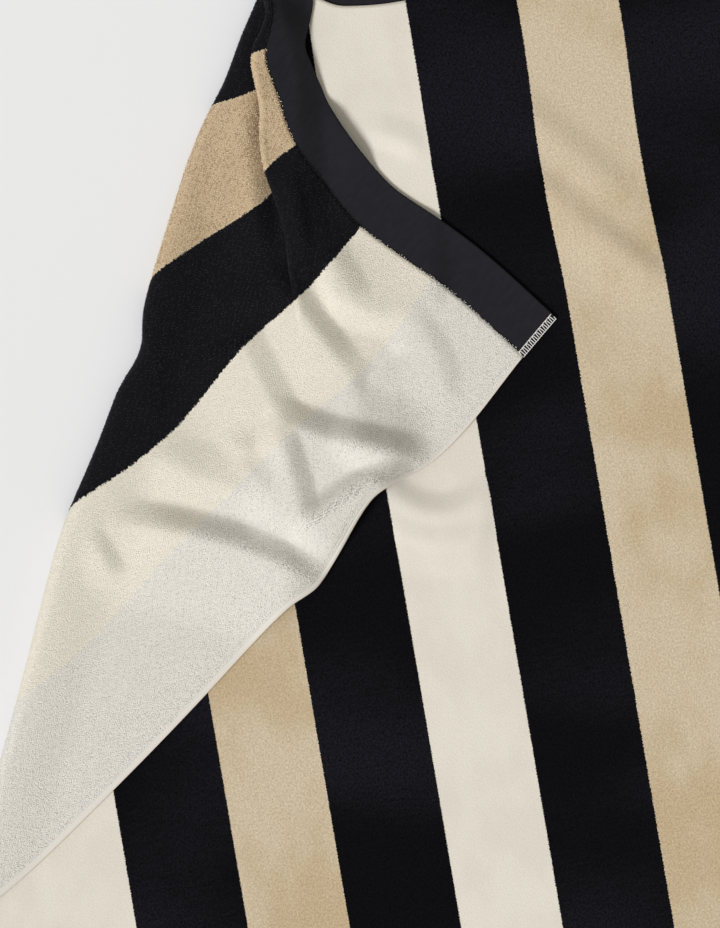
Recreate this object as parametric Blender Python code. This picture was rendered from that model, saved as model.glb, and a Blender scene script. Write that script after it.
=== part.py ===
"""Beach towel, 0.90 x 1.70 m, lying face up with one end corner turned over onto the face.

One cloth: a velour face, a terry back and a flat-woven band doubled under at each end. Sizes are in
metres. Places on the flat cloth and on the floor are both given as (across, along): across runs from
the long side with the turned corner, along runs from the end with the turned corner.
"""

import bpy
import numpy as np
from mathutils.geometry import delaunay_2d_cdt

# The flat cloth
WIDTH = 0.900
LENGTH = 1.700
TERRY_THICK = 0.0032
BAND_THICK = 0.0016
BAND = 0.040  # depth of the woven band at each end
SIDE_THICK = 0.0022
SIDE = 0.0065  # width of the finish along each long side
STEP = 0.0015  # the distance over which the thickness changes

# The turned corner: the straight chord of its fold, from the long side to the end
FOLD_FROM = np.array([0.0, 0.718])
FOLD_TO = np.array([0.397, 0.0])
FOLD_RUN = float(np.hypot(*(FOLD_TO - FOLD_FROM)))
FOLD_ALONG = (FOLD_TO - FOLD_FROM) / FOLD_RUN
FOLD_OUT = np.array([FOLD_ALONG[1], -FOLD_ALONG[0]])  # points to the corner
LAYER_GAP = 0.0012  # air left between the turned corner and the face
REST = TERRY_THICK + LAYER_GAP  # rise of the turned corner's middle over the lower layer's
RELAX = 0.042  # the way in which the round bend sinks to REST
HIDDEN = 0.060  # the reach of the bend's pull into the lower layer, which the corner covers
LEVEL = 0.020  # the cloth is back on the floor this far under the corner

# The fold's outline: how far it bows out of the chord, and the radius of the bend there
FOLD_ROWS = np.array([
    # along   out     radius
    (-0.050, -0.002, 0.0050),
    (0.000, 0.000, 0.0050),
    (0.130, 0.005, 0.0055),
    (0.256, 0.009, 0.0060),
    (0.358, 0.014, 0.0065),
    (0.431, 0.015, 0.0070),
    (0.591, 0.016, 0.0075),
    (0.700, 0.014, 0.0065),
    (0.762, 0.003, 0.0060),
    (0.820, 0.000, 0.0060),
    (0.870, -0.002, 0.0060),
])
KINK_AT = 0.496  # where the fold is pinched in
KINK_IN = 0.008
KINK_HALF = 0.022
KINK_FADE = 0.045

# The pleat: the cloth beside the end band rides over the cloth below it in an S
PLEAT_FROM = np.array([0.160, 0.115])
PLEAT_TO = np.array([0.325, 0.045])
PLEAT_RUN = float(np.hypot(*(PLEAT_TO - PLEAT_FROM)))
PLEAT_ALONG = (PLEAT_TO - PLEAT_FROM) / PLEAT_RUN
PLEAT_IN = np.array([-PLEAT_ALONG[1], PLEAT_ALONG[0]])  # points away from the end
PLEAT_SAG = 0.0107
PLEAT_TURN = 0.0031  # radius of its two turns
PLEAT_RELAX = 0.035  # the way beyond the overlap in which the layer on top sinks
PLEAT_ROWS = np.array([
    # along  turn in degrees, straight run between the turns
    (-0.060, 0.0, 0.000),
    (-0.020, 14.0, 0.002),
    (0.020, 60.0, 0.003),
    (0.060, 120.0, 0.003),
    (0.098, 170.0, 0.0045),
    (0.140, 178.0, 0.0095),
    (0.179, 172.0, 0.0105),
    (0.198, 130.0, 0.0060),
    (0.216, 70.0, 0.0030),
    (0.234, 20.0, 0.0015),
    (0.252, 0.0, 0.0000),
])

# The slide: below the pleat the cloth is drawn towards the end, most where the fold meets the end
SLIDE = 0.034
SLIDE_FROM, SLIDE_FULL = 0.150, 0.330  # across
SLIDE_EASES, SLIDE_ENDS = 0.350, 0.480  # across
SLIDE_DEEP, SLIDE_GONE = 0.150, 0.480  # along
SLIDE_AT_END = 0.25  # the share of it left at the end's edge
SLIDE_GROWS = 0.100  # along

# Where named places of the flat cloth lie on the floor plan
PLACES = (
    # place                          flat across, along   plan across, along
    ("corner",                       0.000, 0.000, 0.564, 0.304),
    ("long side at the band",        0.000, 0.040, 0.533, 0.330),
    ("long side, on the way down",   0.000, 0.103, 0.487, 0.372),
    ("long side, top of its wave",   0.000, 0.152, 0.447, 0.400),
    ("long side, middle of it",      0.000, 0.206, 0.401, 0.417),
    ("long side, foot of it",        0.000, 0.258, 0.368, 0.454),
    ("long side, turning",           0.000, 0.2955, 0.3434, 0.4806),
    ("long side, straight again",    0.000, 0.322, 0.3236, 0.490),
    ("long side, halfway down",      0.000, 0.475, 0.201, 0.581),
    ("long side, near the fold",     0.000, 0.614, 0.087, 0.661),
    ("end, near the corner",         0.080, 0.000, 0.514, 0.241),
    ("end at the cream stripe",      0.160, 0.000, 0.457, 0.184),
    ("end at the hollow",            0.203, 0.000, 0.436, 0.152),
    ("end at the black stripe",      0.246, 0.000, 0.418, 0.114),
    ("end, midway",                  0.290, 0.000, 0.407, 0.073),
    ("end at the tan stripe",        0.325, 0.000, 0.4125, 0.044),
    ("band edge, near the corner",   0.080, 0.040, 0.482, 0.267),
    ("band edge at cream",           0.160, 0.040, 0.425, 0.209),
    ("band edge at the hollow",      0.206, 0.040, 0.403, 0.1725),
    ("band edge at black",           0.246, 0.040, 0.3855, 0.138),
    ("band edge at tan",             0.325, 0.040, 0.3745, 0.060),
    ("ridge at tan",                 0.325, 0.045, 0.3685, 0.061),
    ("ridge at black",               0.246, 0.067, 0.362, 0.151),
    ("ridge at cream",               0.160, 0.118, 0.3656, 0.2566),
    ("under the ridge at tan",       0.325, 0.093, 0.3608, 0.0897),
    ("under the ridge at black",     0.246, 0.098, 0.3597, 0.1716),
    ("black edge, halfway",          0.246, 0.165, 0.310, 0.195),
    ("black edge at the fold",       0.246, 0.246, 0.2565, 0.226),
    ("tan edge at the fold",         0.325, 0.131, 0.326, 0.099),
    ("cream edge, near the ridge",   0.160, 0.177, 0.3244, 0.2824),
    ("cream edge, halfway",          0.160, 0.274, 0.2583, 0.3386),
    ("cream edge, near the fold",    0.160, 0.336, 0.210, 0.366),
    ("cream edge at the fold",       0.160, 0.402, 0.161, 0.398),
    ("fold at the long side",        0.000, 0.718, 0.000, 0.718),
)

RELIEF_GROWS = 0.025  # beyond the bend, swellings and creases of the turned corner grow over this way
RELIEF_SOFT = 0.0005  # how softly they meet the rest height, below which nothing sinks
FACE_RELIEF = (-0.100, -0.070)  # creases of the face fade between these distances from the fold

# Soft swellings of the turned corner over its rest height, on the plan
SWELLINGS = (
    # across, along, rise, radius across, radius along
    (0.400, 0.360, 0.0080, 0.075, 0.075),
    (0.445, 0.285, 0.0080, 0.032, 0.040),
    (0.365, 0.440, 0.0080, 0.045, 0.040),
    (0.285, 0.300, 0.0060, 0.060, 0.060),
    (0.420, 0.361, -0.0140, 0.024, 0.014),
    (0.375, 0.352, -0.0070, 0.020, 0.010),
)

# Creases of the turned corner: a path through three places, and a rise that fades to either side
CREASE_ENDS = 0.3  # share of a crease over which it fades at each end
CREASE_LEGS = 16  # straight legs of its path
CREASES = (
    # from, through, to (across, along each), rise, reach to the right of the path, reach to the left
    ((0.365, 0.267), (0.382, 0.294), (0.406, 0.339), 0.0090, 0.026, 0.007),
    ((0.371, 0.263), (0.391, 0.288), (0.421, 0.329), -0.0060, 0.006, 0.008),
    ((0.313, 0.232), (0.331, 0.298), (0.342, 0.380), 0.0090, 0.024, 0.009),
    ((0.346, 0.355), (0.389, 0.376), (0.448, 0.402), 0.0120, 0.020, 0.006),
    ((0.337, 0.425), (0.367, 0.409), (0.421, 0.392), -0.0090, 0.008, 0.005),
    ((0.193, 0.407), (0.255, 0.419), (0.329, 0.479), 0.0080, 0.016, 0.007),
    ((0.196, 0.389), (0.263, 0.402), (0.346, 0.457), -0.0070, 0.008, 0.008),
    ((0.235, 0.351), (0.286, 0.389), (0.341, 0.443), 0.0060, 0.014, 0.012),
    ((0.168, 0.416), (0.178, 0.436), (0.191, 0.449), 0.0035, 0.014, 0.006),
    ((0.376, 0.147), (0.377, 0.199), (0.378, 0.229), 0.0035, 0.014, 0.007),
    ((0.235, 0.275), (0.235, 0.306), (0.234, 0.333), 0.0030, 0.004, 0.014),
)

# Creases of the face beside the turned corner
FACE_CREASES = (
    ((0.470, 0.410), (0.515, 0.428), (0.550, 0.400), 0.0045, 0.016, 0.009),
    ((0.455, 0.085), (0.510, 0.130), (0.600, 0.215), 0.0055, 0.020, 0.014),
    ((0.600, 0.100), (0.640, 0.130), (0.675, 0.155), 0.0050, 0.012, 0.016),
    ((0.635, 0.175), (0.680, 0.205), (0.715, 0.235), 0.0055, 0.012, 0.016),
)

# The mesh
GRAIN = 0.0128  # spacing of the points on the turned corner
FACE_GRAIN = 0.019
STRIP_GRAIN = 0.006  # on the end band between the pleat and the fold
FOLD_SPACING = 0.0125
PLEAT_SPACING = 0.0085
FOLD_PAST = (-0.010, 0.040)  # rows along the fold run past its chord by this
CORNER = (0.500, 0.860)  # across and along that hold the turned corner and its pull
STRIP = ((0.290, 0.0), (CORNER[0], 0.090))
FACE = ((0.380, 0.020), (0.760, 0.460))  # where the face has creases
FOLD_APART, PLEAT_APART, STRIP_APART = 0.0018, 0.0014, 0.0030  # from points already placed
GRAIN_APART = 0.6  # the same, as a share of the spacing
WELD = 1e-6
BEND_ROWS = (  # turn in degrees from the outermost line, way beyond it
    (-90, -0.050), (-90, -0.030), (-90, -0.016), (-90, -0.007), (-90, 0),
    (-67, 0), (-45, 0), (-22, 0), (0, 0), (22, 0), (45, 0), (67, 0), (90, 0),
    (90, 0.006), (90, 0.013), (90, 0.021), (90, 0.030),
)
S_ROWS = (  # shares of the turns and of the straight run, way beyond them
    (0, 0, -0.030), (0, 0, -0.016), (0, 0, -0.008), (0, 0, -0.003), (0, 0, 0),
    (0.25, 0, 0), (0.5, 0, 0), (0.75, 0, 0), (1, 0, 0), (1, 0.5, 0),
    (1, 1, 0), (1.25, 1, 0), (1.5, 1, 0), (1.75, 1, 0), (2, 1, 0),
    (2, 1, 0.003), (2, 1, 0.008), (2, 1, 0.016), (2, 1, 0.030),
)
NUDGE = 0.0002  # used to take slopes


def eased(value):
    """0 below 0, 1 above 1, and a smooth step between."""
    value = np.clip(value, 0.0, 1.0)
    return value * value * (3.0 - 2.0 * value)


def through(rows, column, at):
    """A smooth curve through one column of a table, read at places of its first column."""
    place, value = rows[:, 0], rows[:, column]
    slope = np.gradient(value, place)
    i = np.clip(np.searchsorted(place, at) - 1, 0, len(place) - 2)
    span = place[i + 1] - place[i]
    s = np.clip((at - place[i]) / span, 0.0, 1.0)
    low, high = (1 + 2 * s) * (1 - s) ** 2, s * s * (3 - 2 * s)
    curve = low * value[i] + high * value[i + 1]
    return curve + span * s * (1 - s) * ((1 - s) * slope[i] - s * slope[i + 1])


def pleated(flat):
    """The cloth with the S of the pleat: where it lies, and its rise on the back's side."""
    run = (flat - PLEAT_FROM) @ PLEAT_ALONG
    out = (flat - PLEAT_FROM) @ PLEAT_IN
    share = run / PLEAT_RUN
    ridge = -4 * PLEAT_SAG * share * (1 - share)
    angle = np.radians(np.clip(through(PLEAT_ROWS, 1, run), 0, 180))
    straight = np.clip(through(PLEAT_ROWS, 2, run), 0, None)
    turn = PLEAT_TURN * angle
    length = 2 * turn + straight
    gone = length - 2 * PLEAT_TURN * np.sin(angle) - straight * np.cos(angle)
    rise = 2 * PLEAT_TURN * (1 - np.cos(angle)) + straight * np.sin(angle)
    a = np.clip(out - ridge, 0, length)  # the way along the cloth from the ridge
    first = np.clip(a / PLEAT_TURN, 0, angle)
    last = np.clip((a - turn - straight) / PLEAT_TURN, 0, angle)
    middle = np.clip(a - turn, 0, straight)
    place = PLEAT_TURN * np.sin(first) + middle * np.cos(angle)
    place += PLEAT_TURN * (np.sin(angle) - np.sin(angle - last))
    depth = PLEAT_TURN * (1 - np.cos(first)) + middle * np.sin(angle)
    depth += PLEAT_TURN * (np.cos(angle - last) - np.cos(angle))
    moved = place - a + gone
    off = (rise - depth) * (1 - eased((ridge - out - 0.75 * gone) / PLEAT_RELAX))
    return flat + moved[:, None] * PLEAT_IN, off


def slid(plan):
    """The pleated cloth after its slide towards the end."""
    slide = SLIDE * eased((plan[:, 0] - SLIDE_FROM) / (SLIDE_FULL - SLIDE_FROM))
    slide *= 1 - eased((plan[:, 0] - SLIDE_EASES) / (SLIDE_ENDS - SLIDE_EASES))
    slide *= 1 - eased((plan[:, 1] - SLIDE_DEEP) / (SLIDE_GONE - SLIDE_DEEP))
    slide *= SLIDE_AT_END + (1 - SLIDE_AT_END) * eased(plan[:, 1] / SLIDE_GROWS)
    return plan - slide[:, None] * np.array([0, 1])


def fold_measures(flat):
    """Run along the fold, bow of the fold there, bend radius, and arc from the bend's outermost line."""
    run = (flat - FOLD_FROM) @ FOLD_ALONG
    out = (flat - FOLD_FROM) @ FOLD_OUT
    bow = through(FOLD_ROWS, 1, run)
    radius = through(FOLD_ROWS, 2, run)
    pinch = KINK_IN * np.exp(-(((run - KINK_AT) / KINK_HALF) ** 2))
    pinch *= 1 - eased(np.abs(out - bow) / KINK_FADE)
    bow = bow - pinch
    arc = out - bow - radius * (np.pi / 2 - 1)
    return run, bow, radius, arc


def folded(flat):
    """The cloth with its pleat and its turned corner, before it is eased into place."""
    plan, off = pleated(flat)
    run, bow, radius, arc = fold_measures(slid(plan))
    turn = np.clip(arc / radius, -np.pi / 2, np.pi / 2)
    before = np.minimum(arc + radius * np.pi / 2, 0)
    after = np.maximum(arc - radius * np.pi / 2, 0)
    off = off * eased(turn / np.pi + 0.5)  # the pleat is gone before the face
    out = bow - radius + (radius + off) * np.cos(turn) + before - after
    sink = (2 * radius - REST) * eased(after / RELAX)
    height = radius + (radius + off) * np.sin(turn) - sink
    place = FOLD_FROM + run[:, None] * FOLD_ALONG + out[:, None] * FOLD_OUT
    return place, height, arc, radius, plan


def spread(gap):
    """The thin-plate kernel, r squared times log r, of the gaps between two sets of places."""
    square = (gap**2).sum(axis=-1) + 1e-12
    return 0.5 * square * np.log(square)


def pull_weights():
    """The smooth pull that takes each named place from where folding puts it to where it lies."""
    rows = np.array([row[1:] for row in PLACES])
    goal = rows[:, 2:]
    start, *_, plan = folded(rows[:, :2])
    kernel = spread(plan[:, None] - plan[None])
    edge = np.column_stack([np.ones(len(plan)), plan])
    system = np.block([[kernel, edge], [edge.T, np.zeros((3, 3))]])
    return plan, np.linalg.solve(system, np.vstack([goal - start, np.zeros((3, 2))]))


PULL_AT, PULL = pull_weights()


def pulled(plan):
    """The pull at any places of the pleated cloth, the same for layers that lie on each other."""
    edge = np.column_stack([np.ones(len(plan)), plan])
    return spread(plan[:, None] - PULL_AT[None]) @ PULL[:-3] + edge @ PULL[-3:]


def crease_height(plan, creases):
    """Rise at each place of the plan: each crease is highest on its path and fades at its ends."""
    total = np.zeros(len(plan))
    for start, middle, end, rise, right, left in creases:
        start, middle, end = np.array(start), np.array(middle), np.array(end)
        control = 2 * middle - (start + end) / 2
        s = np.linspace(0, 1, CREASE_LEGS + 1)[:, None]
        path = start * (1 - s) ** 2 + 2 * control * s * (1 - s) + end * s * s
        best = np.full(len(plan), np.inf)
        reach = np.ones(len(plan))
        share = np.zeros(len(plan))
        for k in range(CREASE_LEGS):
            leg = path[k + 1] - path[k]
            gap = plan - path[k]
            part = np.clip(gap @ leg / (leg @ leg), 0, 1)
            away = np.hypot(*(gap - part[:, None] * leg).T)
            side = leg[0] * gap[:, 1] - leg[1] * gap[:, 0]
            nearer = away < best
            best = np.where(nearer, away, best)
            reach = np.where(nearer, np.where(side > 0, right, left), reach)
            share = np.where(nearer, (k + part) / CREASE_LEGS, share)
        fade = eased(share / CREASE_ENDS) * eased((1 - share) / CREASE_ENDS)
        total += rise * fade * np.exp(-((best / reach) ** 2))
    return total


def laid(flat):
    """Where the middle of the cloth lies: across, along and height over the lower layer's middle."""
    place, height, arc, radius, plan = folded(flat)
    place = place + eased((arc + HIDDEN) / HIDDEN)[:, None] * pulled(plan)
    turned = eased((arc - radius * np.pi / 2) / RELIEF_GROWS)
    swell = crease_height(place, CREASES)
    for across, along, rise, wide, deep in SWELLINGS:
        away = ((place[:, 0] - across) / wide) ** 2 + ((place[:, 1] - along) / deep) ** 2
        swell += rise * np.exp(-away)
    swell = RELIEF_SOFT * np.logaddexp(0, swell / RELIEF_SOFT)
    low, high = FACE_RELIEF
    on_face = 1 - eased((arc - low) / (high - low))
    height = height + turned * swell + on_face * crease_height(place, FACE_CREASES)
    return np.column_stack([place, height])


def thickness(flat):
    """The cloth's thickness, thinner in the end bands and at the long sides."""
    from_end = np.minimum(flat[:, 1], LENGTH - flat[:, 1])
    from_side = np.minimum(flat[:, 0], WIDTH - flat[:, 0])
    thick = BAND_THICK + (TERRY_THICK - BAND_THICK) * eased((from_end - BAND) / STEP + 0.5)
    at_side = np.minimum(thick, SIDE_THICK)
    return at_side + (thick - at_side) * eased((from_side - SIDE) / STEP + 0.5)


def in_room(flat):
    """Where the middle of the cloth lies in the room: x, y and z."""
    across, along, height = laid(flat).T
    on_floor = 1 - eased(folded(flat)[2] / LEVEL + 1)
    height = height + TERRY_THICK / 2 - on_floor * (TERRY_THICK - thickness(flat)) / 2
    return np.column_stack([across - WIDTH / 2, LENGTH / 2 - along, height])


def skins(flat):
    """The face and the back of the cloth, each half its thickness from the middle."""
    across, along = np.array([NUDGE, 0]), np.array([0, NUDGE])
    flip = np.array([1, -1, 1])  # along runs against y
    slope_across = flip * (laid(flat + across) - laid(flat - across))
    slope_along = flip * (laid(flat + along) - laid(flat - along))
    up = np.cross(slope_along, slope_across)
    up /= np.linalg.norm(up, axis=1)[:, None]
    middle = in_room(flat)
    half = thickness(flat)[:, None] / 2
    return middle + half * up, middle - half * up


def line(start, end, spacing):
    """Evenly spaced places from one place to another."""
    start, end = np.array(start, float), np.array(end, float)
    count = max(2, round(float(np.hypot(*(end - start))) / spacing) + 1)
    return start + np.linspace(0, 1, count)[:, None] * (end - start)


def patch(start, end, spacing):
    """Staggered places that fill a rectangle."""
    across = np.arange(start[0], end[0], spacing)
    along = np.arange(start[1], end[1], spacing * np.sqrt(3) / 2)
    stagger = (np.arange(len(along)) % 2) * spacing / 2
    places = np.meshgrid(across, along)
    return np.column_stack([(places[0] + stagger[:, None]).ravel(), places[1].ravel()])


def fold_rows():
    """Places in rows along the fold, close together round its bend."""
    run = np.arange(FOLD_PAST[0], FOLD_RUN + FOLD_PAST[1], FOLD_SPACING)
    bow, radius = through(FOLD_ROWS, 1, run), through(FOLD_ROWS, 2, run)
    rows = []
    for i, (turn, beyond) in enumerate(BEND_ROWS):
        out = bow + radius * (np.pi / 2 - 1) + np.radians(turn) * radius + beyond
        at = run + (i % 2) * FOLD_SPACING / 2
        rows.append(FOLD_FROM + at[:, None] * FOLD_ALONG + out[:, None] * FOLD_OUT)
    return np.vstack(rows)


def pleat_rows():
    """Places in rows along the pleat, close together round its two turns."""
    run = np.arange(PLEAT_ROWS[0, 0], PLEAT_ROWS[-1, 0], PLEAT_SPACING)
    share = run / PLEAT_RUN
    ridge = -4 * PLEAT_SAG * share * (1 - share)
    turn = PLEAT_TURN * np.radians(np.clip(through(PLEAT_ROWS, 1, run), 0, 180))
    straight = np.clip(through(PLEAT_ROWS, 2, run), 0, None)
    rows = []
    for of_turns, of_straight, beyond in S_ROWS:
        out = ridge + of_turns * turn + of_straight * straight + beyond
        rows.append(PLEAT_FROM + run[:, None] * PLEAT_ALONG + out[:, None] * PLEAT_IN)
    return np.vstack(rows)


def mesh_places():
    """The flat places of the mesh, and the lines that its edges keep to."""
    near, far = CORNER
    from_end = (0, BAND - STEP / 2, BAND + STEP / 2)
    from_side = (0, SIDE - STEP / 2, SIDE + STEP / 2)
    lines = [np.vstack([line((0, d), (near, d), FOLD_SPACING), [[WIDTH, d]]]) for d in from_end]
    lines += [np.vstack([line((d, 0), (d, far), FOLD_SPACING), [[d, LENGTH]]]) for d in from_side]
    lines += [line((0, LENGTH - d), (WIDTH, LENGTH - d), WIDTH) for d in from_end]
    lines += [line((WIDTH - d, 0), (WIDTH - d, LENGTH), LENGTH) for d in from_side]
    edges, count = [], 0
    for places in lines:
        edges += [(count + i, count + i + 1) for i in range(len(places) - 1)]
        count += len(places)
    kept = np.vstack(lines)
    corner = patch((0, 0), CORNER, GRAIN)
    corner = corner[folded(corner)[2] > LEVEL]
    for places, apart in (
        (fold_rows(), FOLD_APART),
        (pleat_rows(), PLEAT_APART),
        (patch(*STRIP, STRIP_GRAIN), STRIP_APART),
        (corner, GRAIN_APART * GRAIN),
        (patch(*FACE, FACE_GRAIN), GRAIN_APART * FACE_GRAIN),
    ):
        inside = (places > STEP).all(axis=1) & (places < [WIDTH - STEP, LENGTH - STEP]).all(axis=1)
        places = places[inside]
        gap = np.hypot(*(places[:, None] - kept[None]).transpose(2, 0, 1))
        kept = np.vstack([kept, places[gap.min(axis=1) > apart]])
    return kept, edges


def towel_mesh():
    """The closed surface: face, back and the rim between them, centred over the origin."""
    places, edges = mesh_places()
    found = delaunay_2d_cdt([tuple(p) for p in places], edges, [], 0, WELD)
    flat, triangles = np.array([tuple(p) for p in found[0]]), np.array(found[2])
    points = np.vstack(skins(flat))
    points[:, :2] -= (points[:, :2].min(axis=0) + points[:, :2].max(axis=0)) / 2
    ends = np.concatenate([triangles[:, [0, 1]], triangles[:, [1, 2]], triangles[:, [2, 0]]])
    _, first, count = np.unique(np.sort(ends, axis=1), axis=0, return_index=True, return_counts=True)
    rim = ends[first[count == 1]]
    n = len(flat)
    faces = [tuple(t) for t in triangles[:, ::-1].tolist()]
    faces += [tuple(t) for t in (triangles + n).tolist()]
    faces += [(a, b, b + n, a + n) for a, b in rim.tolist()]
    mesh = bpy.data.meshes.new("towel")
    mesh.from_pydata(points.tolist(), [], faces)
    return mesh


def cloth_material():
    """Undyed cotton terry."""
    material = bpy.data.materials.new("cotton")
    material.use_nodes = True
    shader = material.node_tree.nodes["Principled BSDF"]
    shader.inputs["Base Color"].default_value = (0.72, 0.67, 0.56, 1)
    shader.inputs["Roughness"].default_value = 0.95
    return material


for old in list(bpy.data.objects):
    bpy.data.objects.remove(old)
towel = bpy.data.objects.new("towel", towel_mesh())
towel.data.materials.append(cloth_material())
bpy.context.scene.collection.objects.link(towel)
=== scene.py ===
import bpy
import math
import numpy as np
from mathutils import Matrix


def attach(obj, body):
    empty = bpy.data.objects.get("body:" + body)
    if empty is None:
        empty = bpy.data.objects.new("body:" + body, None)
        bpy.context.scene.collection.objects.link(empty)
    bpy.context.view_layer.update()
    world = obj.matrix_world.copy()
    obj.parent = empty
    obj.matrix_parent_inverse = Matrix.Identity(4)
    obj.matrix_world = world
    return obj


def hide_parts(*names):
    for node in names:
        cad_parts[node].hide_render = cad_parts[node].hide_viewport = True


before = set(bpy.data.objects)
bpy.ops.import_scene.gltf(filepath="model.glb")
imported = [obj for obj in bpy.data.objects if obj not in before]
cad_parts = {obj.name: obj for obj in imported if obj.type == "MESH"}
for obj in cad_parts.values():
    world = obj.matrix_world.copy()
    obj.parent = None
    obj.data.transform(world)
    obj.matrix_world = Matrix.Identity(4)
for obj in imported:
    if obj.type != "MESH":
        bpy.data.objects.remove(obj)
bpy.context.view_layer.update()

# ---------------------------------------------------------------------------------------------------
# Terry cloth. The towel's body is one woven cotton cloth with pile on both sides: sheared to a velour
# on the face, left as loops on the back, and bare along each long side, where the finish is. It lies
# face up, one corner turned over onto it, and beside that end its back rides over itself in a pleat.

# the cloth; places on it, flat or on the floor, are (across, along) from the side and end of that corner
WIDTH, LENGTH = 0.900, 1.700
TERRY_THICK, SIDE_THICK = 0.0032, 0.0022
BAND = 0.040  # depth of the flat-woven band at each end
SIDE, SIDE_STEP = 0.0065, 0.0015  # width of the finish along each long side, and of the step to it
SIDE_SEEN, SIDE_END = 0.0042, 0.0022  # what the pile leaves of it bare, and near the turned end
SIDE_GROWS = (0.17, 0.28)  # along, where that changes from the second to the first
BULGE = np.array([0.00273, 0.02596])  # how far the fold stands past the long side and past the end

# the fold: a chord on the flat cloth, and how its bend departs from that chord
FOLD_FROM = np.array([0.0, 0.718])
FOLD_TO = np.array([0.397, 0.0])
FOLD_RUN = float(np.hypot(*(FOLD_TO - FOLD_FROM)))
FOLD_ALONG = (FOLD_TO - FOLD_FROM) / FOLD_RUN
FOLD_OUT = np.array([FOLD_ALONG[1], -FOLD_ALONG[0]])
REST = TERRY_THICK + 0.0012  # height of the turned corner's middle over the face's
RELAX = 0.042  # the way past the bend in which it sinks to that height
HIDDEN = 0.060  # the way up to the bend's outermost line in which the pull into place grows in
LEVEL = 0.020  # the way up to that line in which the cloth leaves the floor
FOLD_ROWS = np.array([
    # along the fold, out of its chord, radius of the bend
    (-0.050, -0.002, 0.0050),
    (0.000, 0.000, 0.0050),
    (0.130, 0.005, 0.0055),
    (0.256, 0.009, 0.0060),
    (0.358, 0.014, 0.0065),
    (0.431, 0.015, 0.0070),
    (0.591, 0.016, 0.0075),
    (0.700, 0.014, 0.0065),
    (0.762, 0.003, 0.0060),
    (0.820, 0.000, 0.0060),
    (0.870, -0.002, 0.0060),
])
KINK_AT, KINK_IN, KINK_HALF, KINK_FADE = 0.496, 0.008, 0.022, 0.045  # a pinch in the bend

# the pleat: a chord on the flat cloth, and the S in which the cloth turns there
PLEAT_FROM = np.array([0.160, 0.115])
PLEAT_TO = np.array([0.325, 0.045])
PLEAT_RUN = float(np.hypot(*(PLEAT_TO - PLEAT_FROM)))
PLEAT_ALONG = (PLEAT_TO - PLEAT_FROM) / PLEAT_RUN
PLEAT_IN = np.array([-PLEAT_ALONG[1], PLEAT_ALONG[0]])
PLEAT_SAG = 0.0107  # how far its ridge bends out of the chord
PLEAT_TURN = 0.0031  # radius of its two turns
PLEAT_HOLDS = 0.75  # the cloth before the ridge stays up over this share of the length the S takes up
PLEAT_RELAX = 0.035  # and comes down over this way after that
PLEAT_ROWS = np.array([
    # along the pleat, turn in degrees, straight run between its two turns
    (-0.060, 0.0, 0.000),
    (-0.020, 14.0, 0.002),
    (0.020, 60.0, 0.003),
    (0.060, 120.0, 0.003),
    (0.098, 170.0, 0.0045),
    (0.140, 178.0, 0.0095),
    (0.179, 172.0, 0.0105),
    (0.198, 130.0, 0.0060),
    (0.216, 70.0, 0.0030),
    (0.234, 20.0, 0.0015),
    (0.252, 0.0, 0.0000),
])

SLIDE = 0.034  # how far the pleated cloth moves towards the end
SLIDE_FROM, SLIDE_FULL, SLIDE_EASES, SLIDE_ENDS = 0.150, 0.330, 0.350, 0.480  # across
SLIDE_DEEP, SLIDE_GONE = 0.150, 0.480  # along
SLIDE_AT_END, SLIDE_GROWS = 0.25, 0.100  # share of it at the end, and the way in which it grows to all

PLACES = (
    # place, where it is on the flat cloth, where it lies on the floor
    ("corner", 0.000, 0.000, 0.564, 0.304),
    ("long side at the band", 0.000, 0.040, 0.533, 0.330),
    ("long side, on the way down", 0.000, 0.103, 0.487, 0.372),
    ("long side, top of its wave", 0.000, 0.152, 0.447, 0.400),
    ("long side, middle of it", 0.000, 0.206, 0.401, 0.417),
    ("long side, foot of it", 0.000, 0.258, 0.368, 0.454),
    ("long side, turning", 0.000, 0.2955, 0.3434, 0.4806),
    ("long side, straight again", 0.000, 0.322, 0.3236, 0.490),
    ("long side, halfway down", 0.000, 0.475, 0.201, 0.581),
    ("long side, near the fold", 0.000, 0.614, 0.087, 0.661),
    ("end, near the corner", 0.080, 0.000, 0.514, 0.241),
    ("end at the cream stripe", 0.160, 0.000, 0.457, 0.184),
    ("end at the hollow", 0.203, 0.000, 0.436, 0.152),
    ("end at the black stripe", 0.246, 0.000, 0.418, 0.114),
    ("end, midway", 0.290, 0.000, 0.407, 0.073),
    ("end at the tan stripe", 0.325, 0.000, 0.4125, 0.044),
    ("band edge, near the corner", 0.080, 0.040, 0.482, 0.267),
    ("band edge at cream", 0.160, 0.040, 0.425, 0.209),
    ("band edge at the hollow", 0.206, 0.040, 0.403, 0.1725),
    ("band edge at black", 0.246, 0.040, 0.3855, 0.138),
    ("band edge at tan", 0.325, 0.040, 0.3745, 0.060),
    ("ridge at tan", 0.325, 0.045, 0.3685, 0.061),
    ("ridge at black", 0.246, 0.067, 0.362, 0.151),
    ("ridge at cream", 0.160, 0.118, 0.3656, 0.2566),
    ("under the ridge at tan", 0.325, 0.093, 0.3608, 0.0897),
    ("under the ridge at black", 0.246, 0.098, 0.3597, 0.1716),
    ("black edge, halfway", 0.246, 0.165, 0.310, 0.195),
    ("black edge at the fold", 0.246, 0.246, 0.2565, 0.226),
    ("tan edge at the fold", 0.325, 0.131, 0.326, 0.099),
    ("cream edge, near the ridge", 0.160, 0.177, 0.3244, 0.2824),
    ("cream edge, halfway", 0.160, 0.274, 0.2583, 0.3386),
    ("cream edge, near the fold", 0.160, 0.336, 0.210, 0.366),
    ("cream edge at the fold", 0.160, 0.402, 0.161, 0.398),
    ("fold at the long side", 0.000, 0.718, 0.000, 0.718),
)

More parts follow.
